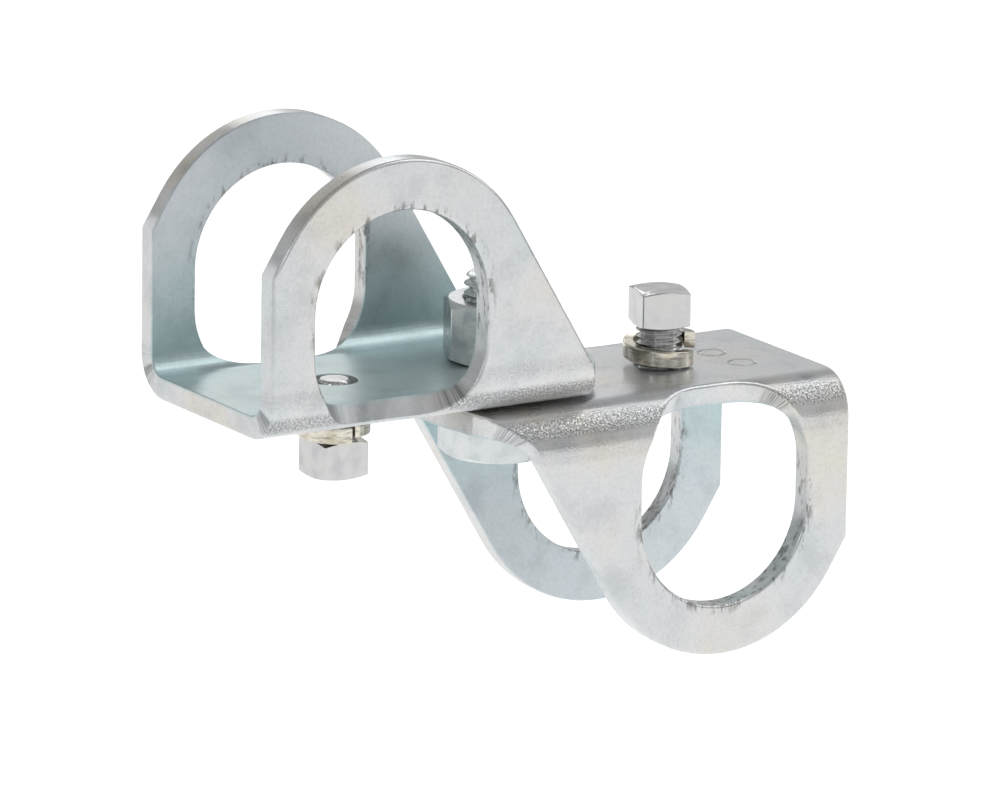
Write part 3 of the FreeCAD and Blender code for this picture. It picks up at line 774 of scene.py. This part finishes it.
bolt = makePivotBolt()
nut = makePivotNut()
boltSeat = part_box("pivot_bolt")[0].z + pivotBolt["headHigh"] * mm
setDown(bolt, Vector((pivotPlace.x, 0, boltSeat)), flipped=True)
setDown(nut, Vector((pivotPlace.x, 0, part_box("pivot_nut")[0].z)))
finishPiece(bolt, "pivot_hex_bolt", "lower_arm", "pivot_bolt", "fastener", boltZinc)
finishPiece(nut, "pivot_hex_nut", "lower_arm", "pivot_nut", "fastener", boltZinc)
print("pivot made")

springWasher = {
    "inner": 6.5, "outer": 9.3, "thick": 4.2,       # radii, and the height of the bar
    "edge": 0.35, "sawnEdge": 0.12, "flatArea": 1, "sawnAngle": 60,
    "steps": 72,                                    # points round the turn
    "lower": {"rise": 4.2, "split": 14.0, "turn": -49.0},
    "upper": {"rise": 1.5, "split": 5.0, "turn": -90.0},
}


def makeSpringWasher(name, wound):
    # a bar bent to one left-handed turn, sawn through; its low end is at z = 0
    s = springWasher
    deselectAll()
    bpy.ops.mesh.primitive_plane_add(size=1)
    ring = bpy.context.object
    ring.name = name
    ring.scale = ((s["outer"] - s["inner"]) * mm, s["thick"] * mm, 1)
    ring.rotation_euler = (math.pi / 2, 0, 0)
    ring.location = ((s["outer"] + s["inner"]) / 2 * mm, 0, s["thick"] / 2 * mm)
    bakePlace(ring)
    workOn(ring)
    bpy.ops.mesh.select_all(action="SELECT")
    bpy.ops.mesh.bevel(offset=s["edge"] * mm, segments=3, affect="VERTICES")
    bpy.ops.mesh.select_all(action="SELECT")
    bpy.ops.mesh.delete(type="ONLY_FACE")
    addModifier(ring, "SCREW", axis="Z", angle=-math.radians(360 - wound["split"]),
                screw_offset=wound["rise"] * mm, iterations=1, steps=s["steps"],
                render_steps=s["steps"])
    workOn(ring)
    bpy.ops.mesh.select_all(action="SELECT")
    bpy.ops.mesh.fill_holes(sides=0)
    outward(ring)
    smoothEdges(ring, s["sawnEdge"], s["flatArea"], sharpest=s["sawnAngle"])
    ring.data.transform(Matrix.Rotation(math.radians(wound["turn"]), 4, "Z"))
    return ring


lowerRing = makeSpringWasher("lower_ring", springWasher["lower"])
upperRing = makeSpringWasher("upper_ring", springWasher["upper"])
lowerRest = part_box("lower_lock_washer")[0].z
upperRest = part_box("upper_lock_washer")[0].z
setDown(lowerRing, Vector((lowerSeat.x, 0, lowerRest)))
setDown(upperRing, Vector((upperSeat.x, 0, upperRest)))
finishPiece(lowerRing, "lower_spring_washer", "lower_ring", "lower_lock_washer", "spring_ring",
            springZinc)
finishPiece(upperRing, "upper_spring_washer", "upper_ring", "upper_lock_washer", "spring_ring",
            springZinc)


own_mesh(lowerRing)
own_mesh(upperRing)
print("washers made")

# floor, light and camera
studio = {"floorHalf": 4.0, "floorGlow": 0.62,
          # brightness of the room by height: dim at the horizon, a lit wall, then a grey ceiling
          "room": ((0.0, 0.30), (0.06, 0.30), (0.14, 0.58), (0.27, 0.66), (0.36, 0.95),
                   (0.52, 0.62), (0.66, 0.40)),
          # white panels stand round it, with soft edges, and the gaps between are dimmer
          "panels": 9.0, "panelEdge": (-0.6, 0.1), "gap": 0.45}

deselectAll()
bpy.ops.mesh.primitive_plane_add(size=2 * studio["floorHalf"], location=(0, 0, cadLow.z))
floor = bpy.context.object
floor.name = "floor"
bakePlace(floor)
floorPaper, tree, shader = newMaterial("white_paper_sweep", 0)
shader.inputs["Base Color"].default_value = linear("#f4f4f4")
shader.inputs["Roughness"].default_value = 0.9
shader.inputs["Emission Color"].default_value = (1, 1, 1, 1)
shader.inputs["Emission Strength"].default_value = studio["floorGlow"]
floor.data.materials.append(floorPaper)

lights = {
    # name: place and size in metres, and watts. All are aimed at the coupler
    "overhead_box": ((0.46, -0.24, 0.82), 0.6, 2.2),
    "front_left_box": ((-1.2, -0.7, 0.55), 0.4, 1.1),
    "right_box": ((1.2, -0.3, 0.6), 0.4, 1.2),
    "back_box": ((0.5, 1.3, 0.7), 0.5, 1.2),
}
aim = (cadLow + cadHigh) / 2
for name, (place, size, watts) in lights.items():
    lamp = bpy.data.lights.new(name, "AREA")
    lamp.size = size
    lamp.energy = watts
    stand = bpy.data.objects.new(name, lamp)
    stand.location = place
    stand.rotation_euler = (aim - Vector(place)).to_track_quat("-Z", "Y").to_euler()
    bpy.context.scene.collection.objects.link(stand)

world = bpy.data.worlds.new("studio")
bpy.context.scene.world = world
world.use_nodes = True
sky = world.node_tree
towards = addNode(sky, "SeparateXYZ", {0: addNode(sky, "TexCoord").outputs["Generated"]}).outputs
shade = ramp(sky, towards["Z"], studio["room"])
bearing = maths(sky, "ARCTAN2", towards["Y"], towards["X"])
wave = maths(sky, "SINE", maths(sky, "MULTIPLY", bearing, studio["panels"]))
panels = between(sky, wave, *studio["panelEdge"], studio["gap"], 1.0)
shade = blendColours(sky, 1.0, shade, panels, "MULTIPLY")
sky.links.new(shade, sky.nodes["Background"].inputs["Color"])

# away is in metres from the middle of the swivel, and the aim is moved in mm
view = {"azimuth": -31.8, "elevation": 14.06, "roll": 0.88, "away": 2.589, "lens": 366.1,
        "aimRight": -0.56, "aimUp": 2.6}
a, e, r = (math.radians(view[k]) for k in ("azimuth", "elevation", "roll"))
right = Vector((math.cos(a), math.sin(a), 0))
back = Vector((math.sin(a) * math.cos(e), -math.cos(a) * math.cos(e), math.sin(e)))
up = back.cross(right)
rolledRight = math.cos(r) * right + math.sin(r) * up
rolledUp = math.cos(r) * up - math.sin(r) * right
swivel = Vector((pivotPlace.x, 0, (lowerWeb + upperWeb) / 2))
camera = bpy.data.objects.new("camera", bpy.data.cameras.new("camera"))
camera.data.lens = view["lens"]
aside = (view["aimRight"] * rolledRight + view["aimUp"] * rolledUp) * mm
spot = swivel + view["away"] * back - aside
turned = Matrix((rolledRight, rolledUp, back)).transposed()
camera.matrix_world = Matrix.Translation(spot) @ turned.to_4x4()
bpy.context.scene.collection.objects.link(camera)
bpy.context.scene.camera = camera
bpy.context.scene.view_settings.view_transform = "Standard"
print("studio made")
